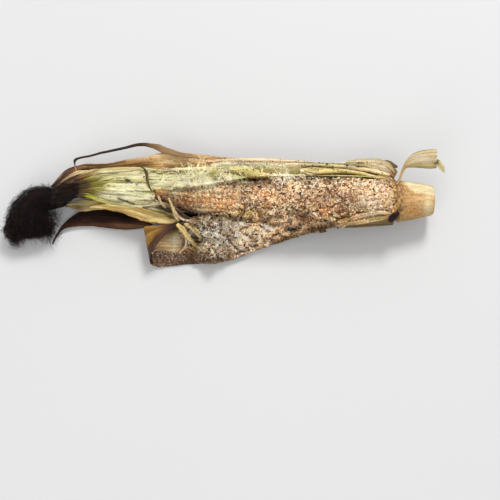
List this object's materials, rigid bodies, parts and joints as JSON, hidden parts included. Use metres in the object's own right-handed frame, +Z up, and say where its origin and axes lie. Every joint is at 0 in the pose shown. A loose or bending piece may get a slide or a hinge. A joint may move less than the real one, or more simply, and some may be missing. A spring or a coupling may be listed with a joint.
{
  "type": "roasted baby corn in husk",
  "caption": "Young ear of corn roasted in its split husk: kernels on top, charred silk at one end, cut stem at the other, loose dry leaves.",
  "frame": {"origin": "centre of the bounding box's bottom, on the surface that the ear lies on", "axes": "+X along the ear from the silk to the cut stem, +Y to the side whose husk leaves are the taller, +Z up, with the husk's split facing up"},
  "size_m": [0.238, 0.068, 0.0348],
  "materials": {
    "kernels": "satin, roasted, dusted with cheese and spice",
    "stem": "matt, dry",
    "husk_pale": "satin, ribbed along its length",
    "husk_tan": "matt, dry, browned at the edges",
    "husk_dark": "satin, roasted nearly black",
    "husk_olive": "satin, ribbed along its length",
    "husk_char": "matt, charred",
    "silk": "matt, charred fine strands"
  },
  "bodies": {
    "root": {"cob": "kernels", "stem": "stem", "husk_main": "husk_pale", "husk_neck": "husk_char", "silk": "silk", "husk_tan": "husk_tan", "husk_far": "husk_pale", "husk_near": "husk_tan", "husk_curl": "husk_olive", "leaf_khaki": "husk_olive", "leaf_brown": "husk_dark", "leaf_tip": "husk_dark", "leaf_ribbon": "husk_dark", "leaf_raised": "husk_pale"}
  },
  "joints": []
}
